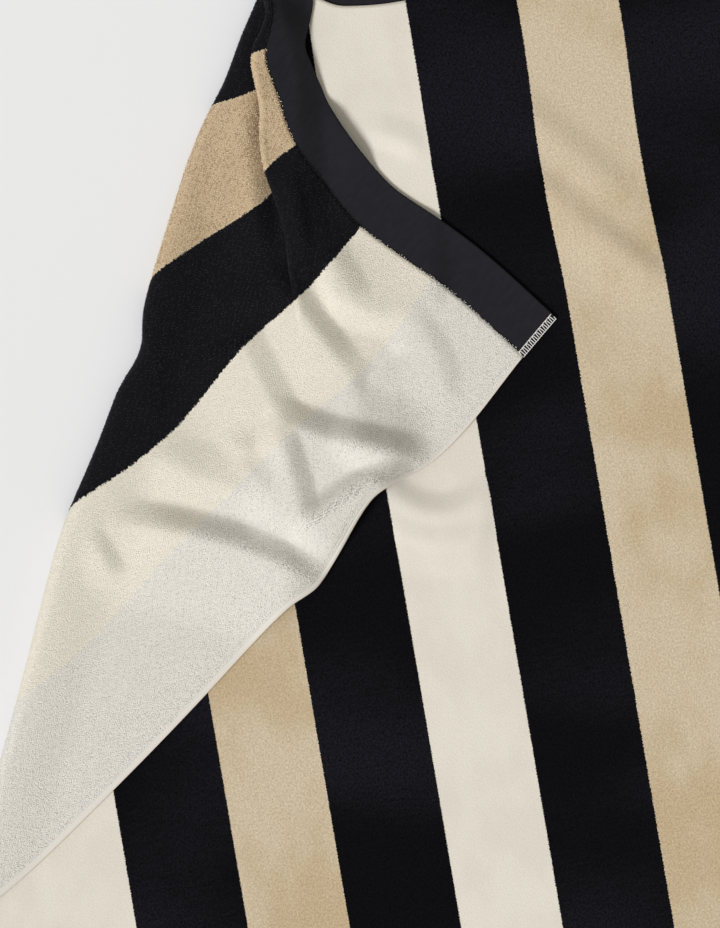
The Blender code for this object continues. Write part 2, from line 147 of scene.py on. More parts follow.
# the relief: two broad swellings, and creases built as ridges
RELIEF_GROWS, RELIEF_SOFT = 0.025, 0.0005  # the way past the bend in which it grows, and its soft floor
FACE_RELIEF = (-0.100, -0.070)  # from the bend's outermost line, where the face's creases run out
SWELLINGS = (
    # across, along, rise, radius across, radius along
    (0.405, 0.327, 0.0040, 0.060, 0.060),
    (0.301, 0.373, 0.0040, 0.070, 0.060),
)
RIDGE_ROUND, RIDGE_FOOT = 0.0030, 0.07  # how softly a ridge's top is rounded, and its foot runs out
RIDGES = (
    # from, through and to on the floor plan, rise, reach to the right of that path, reach to the left,
    # and the shares of the path over which it starts and ends
    ((0.346, 0.225), (0.379, 0.290), (0.407, 0.343), 0.0090, 0.050, 0.015, 0.15, 0.40),
    ((0.315, 0.272), (0.328, 0.317), (0.344, 0.364), 0.0074, 0.048, 0.017, 0.12, 0.35),
    ((0.329, 0.339), (0.336, 0.374), (0.343, 0.447), 0.0085, 0.040, 0.013, 0.25, 0.25),
    ((0.324, 0.340), (0.387, 0.375), (0.460, 0.403), 0.0135, 0.095, 0.017, 0.22, 0.42),
    ((0.371, 0.364), (0.413, 0.381), (0.449, 0.395), 0.0120, 0.018, 0.038, 0.35, 0.45),
    ((0.173, 0.400), (0.279, 0.434), (0.355, 0.487), 0.0135, 0.065, 0.0165, 0.35, 0.20),
    ((0.222, 0.343), (0.262, 0.374), (0.327, 0.410), 0.0055, 0.028, 0.022, 0.30, 0.35),
    ((0.394, 0.219), (0.404, 0.246), (0.413, 0.274), 0.0040, 0.026, 0.013, 0.20, 0.35),
    ((0.382, 0.236), (0.416, 0.271), (0.495, 0.237), 0.0060, 0.016, 0.046, 0.15, 0.20),
    ((0.399, 0.340), (0.420, 0.318), (0.448, 0.304), -0.0035, 0.009, 0.009, 0.30, 0.30),
    ((0.327, 0.445), (0.371, 0.419), (0.434, 0.398), 0.0185, 0.030, 0.0125, 0.34, 0.30),
    ((0.313, 0.368), (0.324, 0.415), (0.359, 0.455), 0.0020, 0.026, 0.018, 0.30, 0.20),
    ((0.295, 0.343), (0.306, 0.378), (0.319, 0.417), 0.0030, 0.026, 0.012, 0.30, 0.30),
    ((0.171, 0.400), (0.180, 0.423), (0.194, 0.453), 0.0040, 0.020, 0.010, 0.30, 0.30),
    ((0.438, 0.269), (0.462, 0.305), (0.464, 0.369), 0.0030, 0.026, 0.012, 0.30, 0.30),
    ((0.352, 0.064), (0.347, 0.134), (0.343, 0.233), 0.0080, 0.040, 0.014, 0.20, 0.30),
    ((0.410, 0.101), (0.428, 0.140), (0.451, 0.168), 0.0075, 0.040, 0.020, 0.30, 0.35),
    ((0.376, 0.147), (0.377, 0.199), (0.378, 0.229), 0.0050, 0.014, 0.007, 0.30, 0.30),
    ((0.235, 0.275), (0.235, 0.306), (0.234, 0.333), 0.0030, 0.004, 0.014, 0.30, 0.30),
)
FACE_RIDGES = (
    ((0.399, 0.397), (0.446, 0.440), (0.506, 0.419), 0.0050, 0.024, 0.014, 0.20, 0.20),
    ((0.401, 0.439), (0.445, 0.464), (0.493, 0.458), 0.0030, 0.024, 0.012, 0.20, 0.20),
    ((0.439, 0.133), (0.461, 0.143), (0.487, 0.161), 0.0026, 0.010, 0.014, 0.30, 0.30),
    ((0.544, 0.116), (0.597, 0.177), (0.646, 0.237), 0.0032, 0.028, 0.016, 0.25, 0.30),
    ((0.547, 0.168), (0.609, 0.247), (0.670, 0.307), 0.0042, 0.030, 0.013, 0.25, 0.25),
)
BAND_SETTLES, BAND_SETTLED = 0.0014, 0.055  # the thin turned band sinks this far, up to here along


def eased(value):
    """The smooth step 3v2 - 2v3 between 0 and 1."""
    value = np.clip(value, 0.0, 1.0)
    return value * value * (3.0 - 2.0 * value)


def through(rows, column, at):
    """The cubic through one column of a table, whose slopes are the central differences."""
    place, value = rows[:, 0], rows[:, column]
    slope = np.gradient(value, place)
    i = np.clip(np.searchsorted(place, at) - 1, 0, len(place) - 2)
    span = place[i + 1] - place[i]
    s = np.clip((at - place[i]) / span, 0.0, 1.0)
    curve = (1 + 2 * s) * (1 - s) ** 2 * value[i] + s * s * (3 - 2 * s) * value[i + 1]
    return curve + span * s * (1 - s) * ((1 - s) * slope[i] - s * slope[i + 1])


def pleat_measures(flat):
    """How far in each place is from the pleat's ridge, a parabola on its chord; the angle of the S's
    turns, its straight run and its whole length there; and how much less than that it is on the floor."""
    run = (flat - PLEAT_FROM) @ PLEAT_ALONG
    share = run / PLEAT_RUN
    ridge = -4 * PLEAT_SAG * share * (1 - share)
    angle = np.radians(np.clip(through(PLEAT_ROWS, 1, run), 0, 180))
    straight = np.clip(through(PLEAT_ROWS, 2, run), 0, None)
    length = 2 * PLEAT_TURN * angle + straight
    gone = length - 2 * PLEAT_TURN * np.sin(angle) - straight * np.cos(angle)
    return (flat - PLEAT_FROM) @ PLEAT_IN - ridge, angle, straight, length, gone


def pleated(flat):
    """The S of the pleat: an arc down, a straight run and an arc back up, each of PLEAT_TURN radius,
    projected on the floor, and the rise of each place over the layer under it."""
    away, angle, straight, length, gone = pleat_measures(flat)
    turn = PLEAT_TURN * angle
    rise = 2 * PLEAT_TURN * (1 - np.cos(angle)) + straight * np.sin(angle)
    a = np.clip(away, 0, length)
    first = np.clip(a / PLEAT_TURN, 0, angle)
    last = np.clip((a - turn - straight) / PLEAT_TURN, 0, angle)
    middle = np.clip(a - turn, 0, straight)
    place = PLEAT_TURN * (np.sin(first) + np.sin(angle) - np.sin(angle - last)) + middle * np.cos(angle)
    depth = PLEAT_TURN * (1 - np.cos(first) + np.cos(angle - last) - np.cos(angle))
    depth = depth + middle * np.sin(angle)
    off = (rise - depth) * (1 - eased((-away - PLEAT_HOLDS * gone) / PLEAT_RELAX))
    return flat + (place - a + gone)[:, None] * PLEAT_IN, off


def slid(plan):
    """The pleated cloth moved towards the end by SLIDE, eased in and out across and along."""
    slide = SLIDE * eased((plan[:, 0] - SLIDE_FROM) / (SLIDE_FULL - SLIDE_FROM))
    slide = slide * (1 - eased((plan[:, 0] - SLIDE_EASES) / (SLIDE_ENDS - SLIDE_EASES)))
    slide = slide * (1 - eased((plan[:, 1] - SLIDE_DEEP) / (SLIDE_GONE - SLIDE_DEEP)))
    slide = slide * (SLIDE_AT_END + (1 - SLIDE_AT_END) * eased(plan[:, 1] / SLIDE_GROWS))
    return plan - slide[:, None] * np.array([0, 1])


def fold_measures(plan):
    """Run along the fold, its bow, its bend radius, and the arc from the bend's outermost line."""
    run = (plan - FOLD_FROM) @ FOLD_ALONG
    out = (plan - FOLD_FROM) @ FOLD_OUT
    bow, radius = through(FOLD_ROWS, 1, run), through(FOLD_ROWS, 2, run)
    pinch = KINK_IN * np.exp(-(((run - KINK_AT) / KINK_HALF) ** 2))
    bow = bow - pinch * (1 - eased(np.abs(out - bow) / KINK_FADE))
    return run, bow, radius, out - bow - radius * (np.pi / 2 - 1)


def folded(flat):
    """The half turn of the fold: within a quarter turn either side of its outermost line the cloth
    goes round a circle of the bend's radius, and beyond it the corner sinks to its rest height."""
    plan, off = pleated(flat)
    run, bow, radius, arc = fold_measures(slid(plan))
    turn = np.clip(arc / radius, -np.pi / 2, np.pi / 2)
    before = np.minimum(arc + radius * np.pi / 2, 0)
    after = np.maximum(arc - radius * np.pi / 2, 0)
    off = off * eased(turn / np.pi + 0.5)
    out = bow - radius + (radius + off) * np.cos(turn) + before - after
    sink = (2 * radius - REST) * eased(after / RELAX)
    height = radius + (radius + off) * np.sin(turn) - sink
    place = FOLD_FROM + run[:, None] * FOLD_ALONG + out[:, None] * FOLD_OUT
    return place, height, arc, radius, plan


def spread(gap):
    """The thin-plate kernel, r squared times log r."""
    square = (gap**2).sum(axis=-1) + 1e-12
    return 0.5 * square * np.log(square)


def pull_weights():
    """Weights of the thin plate that takes each named place from where folding puts it to where it
    lies: the kernel between all places, bordered by a plane."""
    rows = np.array([row[1:] for row in PLACES])
    start, *_, plan = folded(rows[:, :2])
    edge = np.column_stack([np.ones(len(plan)), plan])
    system = np.block([[spread(plan[:, None] - plan[None]), edge], [edge.T, np.zeros((3, 3))]])
    return plan, np.linalg.solve(system, np.vstack([rows[:, 2:] - start, np.zeros((3, 2))]))


PULL_AT, PULL = pull_weights()


def ridge_height(plan, ridges):
    """The sum of the ridges. Each runs over a parabola through its three points, and falls away from
    it as a tent with a rounded top, on its own slope on either side, fading at its ends."""
    total = np.zeros(len(plan))
    for start, through_it, end, rise, right, left, grows, ends in ridges:
        start, through_it, end = np.array(start), np.array(through_it), np.array(end)
        length = np.hypot(*(end - start))
        run = (end - start) / length
        side = np.array([-run[1], run[0]])
        share = ((through_it - start) @ run) / length
        bow = ((through_it - start) @ side) / (share * (1 - share))
        share = np.clip(((plan - start) @ run) / length, 0, 1)
        away = (plan - start) @ side - bow * share * (1 - share)
        away = away / np.hypot(1, bow * (1 - 2 * share) / length)
        fall = (np.hypot(away, RIDGE_ROUND) - RIDGE_ROUND) / np.where(away > 0, right, left)
        tent = RIDGE_FOOT * np.logaddexp(0, (1 - fall) / RIDGE_FOOT)
        total += rise * tent * eased(share / grows) * eased((1 - share) / ends)
    return total


def laid(flat):
    """Where the middle of the cloth lies: folded, pulled into place, and raised by its ridges."""
    place, height, arc, radius, plan = folded(flat)
    edge = np.column_stack([np.ones(len(plan)), plan])
    pull = spread(plan[:, None] - PULL_AT[None]) @ PULL[:-3] + edge @ PULL[-3:]
    place = place + eased((arc + HIDDEN) / HIDDEN)[:, None] * pull
    swell = ridge_height(place, RIDGES)
    for across, along, rise, wide, deep in SWELLINGS:
        swell += rise * np.exp(-(((place[:, 0] - across) / wide) ** 2) - ((place[:, 1] - along) / deep) ** 2)
    swell = RELIEF_SOFT * np.logaddexp(0, swell / RELIEF_SOFT)
    turned = eased((arc - radius * np.pi / 2) / RELIEF_GROWS)
    on_face = 1 - eased((arc - FACE_RELIEF[0]) / (FACE_RELIEF[1] - FACE_RELIEF[0]))
    height = height + turned * swell + on_face * ridge_height(place, FACE_RIDGES)
    height = height - BAND_SETTLES * turned * (1 - eased(flat[:, 1] / BAND_SETTLED))
    return np.column_stack([place, height, arc])


def skins(flat, thick):
    """The face, the back and the normal of the cloth: each skin is half its thickness from the middle
    along the cross product of the slopes, and on the floor the back stays on the floor."""
    nudge = 0.0002
    across, along = np.array([nudge, 0]), np.array([0, nudge])
    flip = np.array([1, -1, 1])
    slope_across = flip * (laid(flat + across) - laid(flat - across))[:, :3]
    slope_along = flip * (laid(flat + along) - laid(flat - along))[:, :3]
    up = np.cross(slope_along, slope_across)
    up /= np.linalg.norm(up, axis=1)[:, None]
    place = laid(flat)
    on_floor = 1 - eased(place[:, 3] / LEVEL + 1)
    height = place[:, 2] + TERRY_THICK / 2 - on_floor * (TERRY_THICK - thick) / 2
    middle = np.column_stack([
        place[:, 0] - (WIDTH - BULGE[0]) / 2,
        (LENGTH - BULGE[1]) / 2 - place[:, 1],
        height,
    ])
    half = thick[:, None] / 2
    return middle + half * up, middle - half * up, up


def terry_thick(flat):
    """The terry's thickness, which steps smoothly down to the finish along each long side."""
    from_side = np.minimum(flat[:, 0], WIDTH - flat[:, 0])
    return SIDE_THICK + (TERRY_THICK - SIDE_THICK) * eased((from_side - SIDE) / SIDE_STEP + 0.5)


# the sheet's grid, whose lines crowd together on the turned corner, round the fold and round the pleat
ROWS = 240  # grid lines from end to end
FLAP_GRAIN, FLAP_EASES = 0.0036, 0.02  # spacing on the turned corner, and the way in which it comes in
FOLD_GRAIN, FOLD_REACH = 0.0021, 2.2  # round the fold, and its reach in radii of the bend
TURN_GRAIN, TURN_REACH = 0.0013, 0.004  # round the pleat's turns, and its reach past them
FACE_GRAIN, FACE_TO, FACE_EASES = 0.0075, 0.56, 0.08  # on the face this far along, eased in the last of it
FAR_GRAIN = 0.026
CHART_MARGIN, CHART_RIM = 0.01, 0.002  # of the map for baking


def spaced(*legs):
    """Places at even steps within each leg (start, end, step), in one rising row."""
    parts = [np.linspace(a, b, max(2, round((b - a) / step) + 1))[:-1] for a, b, step in legs]
    return np.concatenate(parts + [[legs[-1][1]]])


def crowded(columns, start, end):
    """Rows of a grid: for each column the along places at which the running total of the wanted
    density, one over the wanted spacing, reaches even shares of its sum."""
    fine = np.linspace(start, end, 10 * ROWS)
    flat = np.column_stack([np.repeat(columns, len(fine)), np.tile(fine, len(columns))])
    away, angle, _, length, _ = pleat_measures(flat)
    half = length / 2
    arc, radius = folded(flat)[2:4]
    wanted = 1 / FAR_GRAIN + (1 / FACE_GRAIN) * eased((FACE_TO - flat[:, 1]) / FACE_EASES)
    wanted += (1 / FLAP_GRAIN - 1 / FACE_GRAIN) * eased((arc + FLAP_EASES) / FLAP_EASES)
    wanted += (1 / FOLD_GRAIN) * np.exp(-((arc / (FOLD_REACH * radius)) ** 4))
    wanted += (1 / TURN_GRAIN) * np.exp(-(((away - half) / (half + TURN_REACH)) ** 4)) * eased(angle)
    total = np.cumsum(wanted.reshape(len(columns), -1), axis=1)
    total = (total - total[:, :1]) / (total[:, -1:] - total[:, :1])
    share = np.linspace(0, 1, ROWS)
    lift = np.arange(len(columns))[:, None] * 2.0
    place = np.interp((share + lift).ravel(), (total + lift).ravel(), np.tile(fine, len(columns)))
    return place.reshape(len(columns), -1)


def new_piece(name, points, *faces, creased=0):
    """A piece from its points and one or more arrays of faces, each with its own number of corners. As
    many of the last faces as creased says are shaded flat, and all the others smooth."""
    sizes = np.concatenate([np.full(len(group), group.shape[1]) for group in faces])
    corners = np.concatenate([group.ravel() for group in faces])
    mesh = bpy.data.meshes.new(name)
    mesh.vertices.add(len(points))
    mesh.vertices.foreach_set("co", points.ravel())
    mesh.loops.add(len(corners))
    mesh.loops.foreach_set("vertex_index", corners)
    mesh.polygons.add(len(sizes))
    mesh.polygons.foreach_set("loop_start", np.cumsum(sizes) - sizes)
    mesh.polygons.foreach_set("use_smooth", np.arange(len(sizes)) < len(sizes) - creased)
    mesh.update(calc_edges=True)
    piece = bpy.data.objects.new(name, mesh)
    bpy.context.scene.collection.objects.link(piece)
    return piece


def closed_sheet(name, flat, columns, thick):
    """A closed sheet over a grid of flat places: the face's quads, the back's the other way round, and a
    rim of quads. The attribute "flat" keeps each point's across and along, and 1 on the face, 0 on the
    back."""
    face, back, _ = skins(flat, thick)
    n = len(flat)
    at = np.arange(n).reshape(columns, -1)
    quads = np.stack([at[:-1, :-1], at[:-1, 1:], at[1:, 1:], at[1:, :-1]], axis=-1).reshape(-1, 4)
    rim = np.concatenate([at[0], at[1:, -1], at[-1, -2::-1], at[-2:0:-1, 0], at[0, :1]])
    rim = np.stack([rim[1:], rim[:-1], rim[:-1] + n, rim[1:] + n], axis=-1)
    quads = np.vstack([quads, quads[:, ::-1] + n, rim])
    piece = new_piece(name, np.vstack([face, back]), quads, creased=len(rim))
    side = np.repeat([1.0, 0.0], n)
    kept = piece.data.attributes.new("flat", "FLOAT_VECTOR", "POINT")
    kept.data.foreach_set("vector", np.column_stack([np.vstack([flat, flat]), side]).ravel())
    # a map laid out flat, for baking: the face in one half, the back in the other, the rim beside the face
    low, high = flat.min(axis=0), flat.max(axis=0)
    halves = np.array([0.5, 1.0]) if high[1] - low[1] > high[0] - low[0] else np.array([1.0, 0.5])
    chart = CHART_MARGIN + (flat - low) / (high - low) * (halves - 2 * CHART_MARGIN)
    beyond = CHART_RIM * ((flat == high) * 1.0 - (flat == low))
    places = np.vstack([chart, chart + (halves < 1) * 0.5])[quads]
    turned_over = rim >= n
    places[-len(rim):] = chart[rim % n] + beyond[rim % n] * turned_over[..., None]
    piece.data.uv_layers.new(name="OFBake").data.foreach_set("uv", places.ravel())
    return piece


class Sock:
    """A socket of a material. + - * on sockets and numbers add Math nodes; node() makes any other."""

    def __init__(self, tree, out=None):
        self.tree, self.out = tree, out

    def node(self, kind, settings=None, **values):
        """A node of this kind: its settings first, then its inputs, by name or, as i0 or i1, by number."""
        made = self.tree.nodes.new(kind)
        for key, value in (settings or {}).items():
            setattr(made, key, value)
        for key, value in values.items():
            socket = made.inputs[int(key[1:])] if key[0] == "i" and key[1:].isdigit() else made.inputs[key]
            if isinstance(value, Sock):
                self.tree.links.new(value.out, socket)
            else:
                socket.default_value = value
        return made

    def of(self, made, name=0):
        """One of a node's outputs."""
        return Sock(self.tree, made.outputs[name])

    def feeds(self, shader, name):
        """Links this to one of the shader's inputs."""
        self.tree.links.new(self.out, shader.inputs[name])

    def math(self, operation, *values):
        """A Math node on these values."""
        numbered = {f"i{number}": value for number, value in enumerate(values)}
        return self.of(self.node("ShaderNodeMath", {"operation": operation}, **numbered))

    def __add__(self, other):
        return self.math("ADD", self, other)

    def __radd__(self, other):
        return self.math("ADD", other, self)

    def __sub__(self, other):
        return self.math("SUBTRACT", self, other)

    def __rsub__(self, other):
        return self.math("SUBTRACT", other, self)

    def __mul__(self, other):
        return self.math("MULTIPLY", self, other)

    def __rmul__(self, other):
        return self.math("MULTIPLY", other, self)

    def abs(self):
        return self.math("ABSOLUTE", self)

    def sine(self):
        return self.math("SINE", self)

    def least(self, other):
        return self.math("MINIMUM", self, other)

    def step(self, low, high):
        """0 below low, 1 above high, smooth between."""
        smooth = {"interpolation_type": "SMOOTHSTEP"}
        return self.of(self.node("ShaderNodeMapRange", smooth, i0=self, i1=low, i2=high))

    def between(self, low, high, soft):
        """1 from low to high, with a soft edge."""
        return self.step(low - soft, low + soft) * (1 - self.step(high - soft, high + soft))

    def mix(self, first, second):
        """Of two colours, the first where this is 0 and the second where it is 1."""
        return self.of(self.node("ShaderNodeMix", {"data_type": "RGBA"}, i0=self, i6=first, i7=second), 2)

    def shaded(self, share):
        """This colour times a value."""
        times = {"data_type": "RGBA", "blend_type": "MULTIPLY"}
        return self.of(self.node("ShaderNodeMix", times, i0=1.0, i6=self, i7=share), 2)

    def parts(self):
        """The three numbers of this vector."""
        made = self.node("ShaderNodeSeparateXYZ", i0=self)
        return [self.of(made, number) for number in range(3)]

    def scaled(self, x, y):
        """This place times x across and y along."""
        return self.of(self.node("ShaderNodeVectorMath", {"operation": "MULTIPLY"}, i0=self, i1=(x, y, 0)))

    def plus(self, x, y):
        """This place moved by x across and y along."""
        return self.of(self.node("ShaderNodeVectorMath", {"operation": "ADD"}, i0=self, i1=(x, y, 0)))

    def noise(self, detail, rough):
        """Fractal noise, 0 to 1, at this place."""
        sizes = {"Vector": self, "Scale": 1.0, "Detail": detail, "Roughness": rough}
        return self.of(self.node("ShaderNodeTexNoise", {"noise_dimensions": "2D"}, **sizes))

    def cells(self, jitter=1.0):
        """Distance to the nearest loop or tuft, its random number, and how far across it stands."""
        sizes = {"Vector": self, "Scale": 1.0, "Randomness": jitter}
        made = self.node("ShaderNodeTexVoronoi", {"voronoi_dimensions": "2D"}, **sizes)
        tint = self.node("ShaderNodeSeparateColor", i0=self.of(made, "Color"))
        return self.of(made, "Distance"), self.of(tint), self.of(made, "Position").parts()[0]

    def bump(self, strength, distance):
        """This height as a normal."""
        return self.of(self.node("ShaderNodeBump", Strength=strength, Distance=distance, Height=self))


def new_material(name, roughness, gloss=0.08):
    """A material and its shader, with one roughness and one gloss all over."""
    material = bpy.data.materials.new(name)
    material.use_nodes = True
    shader = material.node_tree.nodes["Principled BSDF"]
    shader.inputs["Roughness"].default_value = roughness
    shader.inputs["Specular IOR Level"].default_value = gloss
    return material, shader


def on_the_cloth(material):
    """The attribute "flat", by which a pattern follows the cloth through its folds."""
    start = Sock(material.node_tree)
    return start.of(start.node("ShaderNodeAttribute", {"attribute_name": "flat"}), "Vector")


CREAM_FACE, CREAM_FACE_DULL = (0.748, 0.702, 0.618, 1), (0.712, 0.666, 0.582, 1)
TAN_FACE, TAN_FACE_WARM = (0.585, 0.490, 0.350, 1), (0.515, 0.400, 0.252, 1)
# the black velour's second colour is painted sheen, bluish and lighter
BLACK_FACE, BLACK_FACE_SHEEN = (0.0019, 0.0016, 0.0026, 1), (0.0070, 0.0064, 0.0098, 1)
CREAM_BACK, GREY_BACK = (0.770, 0.722, 0.620, 1), (0.725, 0.702, 0.645, 1)
TAN_BACK = (0.520, 0.395, 0.250, 1)
BLACK_BACK = (0.0062, 0.0060, 0.0080, 1)
SIDE_CREAM, SIDE_RIM = (0.740, 0.712, 0.650, 1), (0.800, 0.712, 0.620, 1)
LOOP, LOOP_SHIFT = 0.00125, (0.3, 0.7)  # pitch of the loops on the back, and the start of their pattern
TUFT = 0.0007  # pitch of the sheared tufts on the face
SIDE_RIB = 0.0016  # pitch of the ribs of the finish along the sides
STRIPES, STRIPE_SOFT = (0.0391, 0.1252, 0.2035, 0.2896), 0.0002  # edges, from the towel's middle line
GREY_TO, GREY_SOFT = 0.089, 0.0012  # the back's outer cream stripe is greyer this far in
GREY_WAVE, GREY_TURNS, GREY_START = 0.0055, 21.0, 0.22  # that edge's sway, radians a metre, and start
# patches of colour to a metre, across and along, and what moves them to where they are on this towel
NAP, FINE_NAP, STREAKS, CURLS = (34, 22), (640, 560), (60, 280), (1500, 1500)
WIDE_NAP, WIDE_NAP_MOVED = (7, 9), (9.2, 39.6)
# patches of painted sheen on the black velour
SHEEN_PATCH, SHEEN_PATCH_MOVED = (4.5, 8.5), (87.4, 41.4)
PULLED = 0.0030  # how far a crease pulls the stripes over
PULLED_ALONG, PULLED_ACROSS = (0.13, 0.25, 0.05), (0.50, 0.70, 0.06)  # from, to, and how softly


def stripes(across, cream, tan, black):
    """Cream with two black stripes either side of each tan one, by the way from the middle line; and
    where it is tan, and where it is black."""
    out = (across - WIDTH / 2).abs()
    is_tan = out.between(STRIPES[1], STRIPES[2], STRIPE_SOFT)
    is_black = out.between(STRIPES[0], STRIPES[1], STRIPE_SOFT)
    is_black = is_black + out.between(STRIPES[2], STRIPES[3], STRIPE_SOFT)
    return is_tan.mix(is_black.mix(cream, black), tan), is_tan, is_black


def terry_material():
    """Velour on the face and loops on the back. Each loop or tuft takes its stripe's colour at its own
    middle, so the edges of the stripes follow whole loops."""
    material, shader = new_material("terry", 0.92)
    where = on_the_cloth(material)
    across, along, face = where.parts()

    # velour: patches where the nap lies another way, and soft bluish patches of painted sheen on the black
    gap, tuft_chance, tuft_across = where.scaled(1 / TUFT, 1 / TUFT).cells()
    nap = where.scaled(*NAP).noise(3.0, 0.55)
    wide_nap = where.scaled(*WIDE_NAP).plus(*WIDE_NAP_MOVED).noise(1.5, 0.5)
    fine = where.scaled(*FINE_NAP).noise(3.0, 0.70)
    streaks = where.scaled(*STREAKS).noise(2.0, 0.6)
    sheen_patch = where.scaled(*SHEEN_PATCH).plus(*SHEEN_PATCH_MOVED).noise(1.0, 0.4)
    cream = (nap * 0.6 + wide_nap * 0.4).step(0.36, 0.64).mix(CREAM_FACE_DULL, CREAM_FACE)
    tan = (wide_nap * 0.7 + nap * 0.3).step(0.42, 0.66).mix(TAN_FACE, TAN_FACE_WARM)
    # painted sheen in soft bluish patches on the black
    black = (sheen_patch * 0.85 + streaks * 0.15).step(0.38, 0.70).mix(BLACK_FACE, BLACK_FACE_SHEEN)
    pulled = along.between(*PULLED_ALONG) * across.between(*PULLED_ACROSS) * PULLED
    velour, is_tan, is_black = stripes(tuft_across * TUFT + pulled, cream, tan, black)
    depth = 0.10 + is_tan * 0.40 + is_black * 2.2
    velour_shade = 1 + ((fine - 0.5) * 1.6 + (tuft_chance - 0.5) * 0.35) * depth
    velour_height = (1 - gap) * 0.25 + fine * 0.4

    # loops, with painted shade in the gaps between them
    loop_gap, loop_chance, loop_across = where.plus(*LOOP_SHIFT).scaled(1 / LOOP, 1 / LOOP).cells(0.85)
    loop_across = loop_across * LOOP - LOOP_SHIFT[0]
    curl = where.scaled(*CURLS).noise(2.0, 0.6)
    wave = ((along - GREY_START) * GREY_TURNS).sine() * GREY_WAVE
    is_grey = 1 - (loop_across - wave).step(GREY_TO - GREY_SOFT, GREY_TO + GREY_SOFT)
    looped, _, _ = stripes(loop_across, is_grey.mix(CREAM_BACK, GREY_BACK), TAN_BACK, BLACK_BACK)
    # deep is painted shade where the gaps between the loops are
    deep = (loop_gap + curl * 0.2 - 0.1).step(0.38, 0.80)
    loop_shade = (1 - deep * 0.06) * (loop_chance * 0.12 + curl * 0.16 + 0.86)
    loop_height = (1 - loop_gap) * 0.8 + curl * 0.5

    # the bare finish along the long sides, ribbed, and warmer at its rim
    from_side = across.least(WIDTH - across)
    wide = along.step(*SIDE_GROWS) * (SIDE_SEEN - SIDE_END) + SIDE_END
    bare = 1 - (from_side - wide).step(-0.0006, 0.0004)
    ribs = (from_side * (2 * math.pi / SIDE_RIB)).sine()
    bare_shade = 0.74 + 0.03 * ribs + 0.46 * curl
    finish = (1 - from_side.step(0.0007, 0.0016)).mix(SIDE_CREAM, SIDE_RIM)

    on_face = face.step(0.45, 0.55)
    shade = loop_shade * (1 - on_face) + velour_shade * on_face
    shade = shade * (1 - bare) + bare * bare_shade
    bare.mix(on_face.mix(looped, velour), finish).shaded(shade).feeds(shader, "Base Color")
    height = loop_height * (1 - on_face) + velour_height * on_face
    height = height * (1 - bare) + bare * ribs * 0.1
    height.bump(0.55, 0.0009).feeds(shader, "Normal")
    shader.inputs["Sheen Weight"].default_value = 0.03
    shader.inputs["Sheen Roughness"].default_value = 0.5
    return material


terry_columns = spaced(
    # from, to, and the step between grid lines
    (0, SIDE - SIDE_STEP / 2, 0.0019),
    (SIDE - SIDE_STEP / 2, SIDE + SIDE_STEP / 2, SIDE_STEP / 2),
    (SIDE + SIDE_STEP / 2, 0.40, 0.0037),
    (0.40, 0.58, 0.0050),
    (0.58, 0.76, 0.0066),
    (0.76, WIDTH - SIDE - SIDE_STEP / 2, 0.015),
    (WIDTH - SIDE - SIDE_STEP / 2, WIDTH - SIDE + SIDE_STEP / 2, SIDE_STEP / 2),
    (WIDTH - SIDE + SIDE_STEP / 2, WIDTH, 0.0029),
)
TERRY_LAP = 0.0005  # how far the terry reaches over each band
terry_along = crowded(terry_columns, BAND - TERRY_LAP, LENGTH - BAND + TERRY_LAP)
terry_flat = np.column_stack([np.repeat(terry_columns, ROWS), terry_along.ravel()])
terry = closed_sheet("terry_cloth", terry_flat, len(terry_columns), terry_thick(terry_flat))
terry.data.materials.append(terry_material())
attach(terry, "root")
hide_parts("towel")

# ---------------------------------------------------------------------------------------------------
# Loop pile. On the turned corner the back of the towel lies uppermost, and its pile shows: rows of short
# loops of soft cotton yarn, woven in with the cloth, that stand out of it and lean every way.

PILE_PITCH, PILE_ROW = 0.00162, 0.90  # between the loops of a row, and between rows as a share of it
PILE_STRAYS = 0.13  # how far a loop strays from its place, in pitches
PILE_FIRST, PILE_NEAREST = 0.0006, 0.0003  # from the band to the first row, and to any loop that strays
PILE_FREE = 0.0005  # least way from a loop to the bare finish
PILE_BEND = 1.25  # the loops start this many radii before the fold's outermost line
PILE_TO = (0.425, 0.740)  # across and along, past all of the back that shows
EDGE_ROW, EDGE_STRAYS = 0.0008, (0.0003, 0.0005)  # how far one row stands over the band, and how it strays
TUCK_ANGLE = 1.7  # where the pleat's turns are over this, in radians, no loops are built inside it:
TUCK_FROM, TUCK_PAST = 0.55, 0.001  # from this share of its first turn to this far past its end
PILE_SPAN, PILE_RISE, PILE_ROOT = 0.00105, 0.00072, 0.00040
PILE_TURN, PILE_LEAN, PILE_SIZE = (0.8, 0.7), (0, 0.45), (0.85, 1.18)  # mean and spread; least and most
YARN = 0.00034  # radius of the yarn
PILE_PIECES = 4  # the pile is shared out over this many pieces, from the end inwards
TWILL, TWILL_RUN, TWILL_TINT = 0.0046, (0.8, 0.6), 0.22  # pitch, run and strength of faint slanting lines
PILE_TINTS = {
    # three tints of yarn for each stripe
    "cream": ((0.790, 0.745, 0.655), (0.768, 0.720, 0.626), (0.740, 0.690, 0.596)),
    "grey": ((0.788, 0.762, 0.716), (0.720, 0.695, 0.650), (0.545, 0.524, 0.486)),
    "tan": ((0.845, 0.725, 0.535), (0.775, 0.640, 0.458), (0.360, 0.225, 0.130)),
    "black": ((0.0350, 0.0338, 0.0435), (0.0120, 0.0114, 0.0150), (0.0045, 0.0041, 0.0056)),
}
TINT_SHARES = (0.34, 0.69)  # at which a loop takes the second tint, and the third
CREAM, GREY, TAN, BLACK = range(4)
PILE_STRIPES = np.array([CREAM, BLACK, TAN, BLACK, CREAM])  # from the middle line outwards
TAN_EDGE = 0.0016  # loops this near the edge of tan take only its first tint


